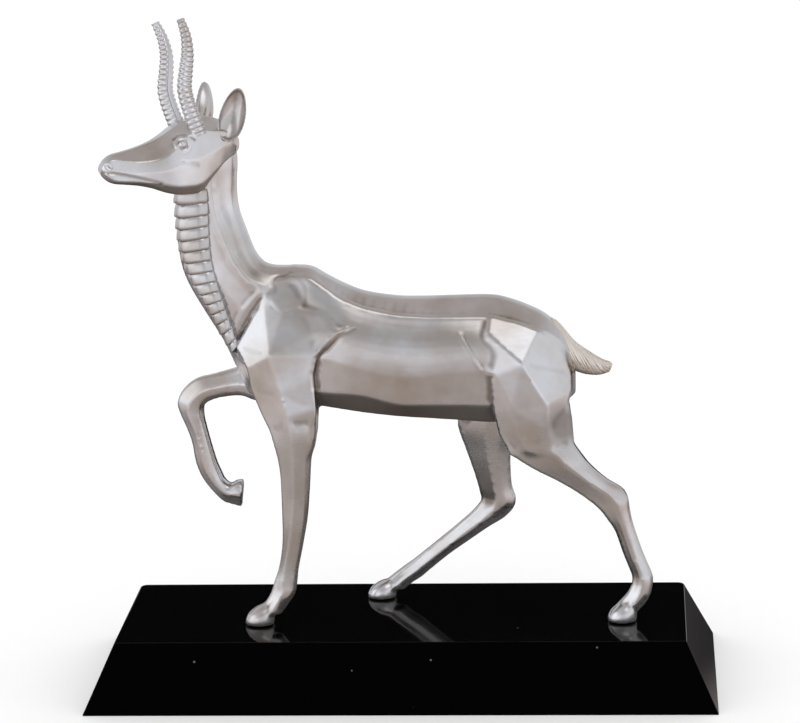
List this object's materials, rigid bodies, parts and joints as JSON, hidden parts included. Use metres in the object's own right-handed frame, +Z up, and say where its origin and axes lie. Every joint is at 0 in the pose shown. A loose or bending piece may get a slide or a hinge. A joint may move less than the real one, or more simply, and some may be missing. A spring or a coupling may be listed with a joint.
{
  "type": "bronze antelope sculpture",
  "caption": "Silvered bronze antelope pacing with one foreleg raised, on a bevelled black marble plinth.",
  "frame": {"origin": "middle of the plinth's underside, on the surface that it stands on", "axes": "+Z up; the antelope looks towards -X; its left side and standing foreleg face -Y"},
  "size_m": [0.36, 0.14, 0.3883],
  "materials": {
    "silvered_bronze": "silvered, satin, slightly worn",
    "black_marble": "polished"
  },
  "bodies": {
    "root": {"antelope": "silvered_bronze", "plinth": "black_marble"}
  },
  "joints": []
}
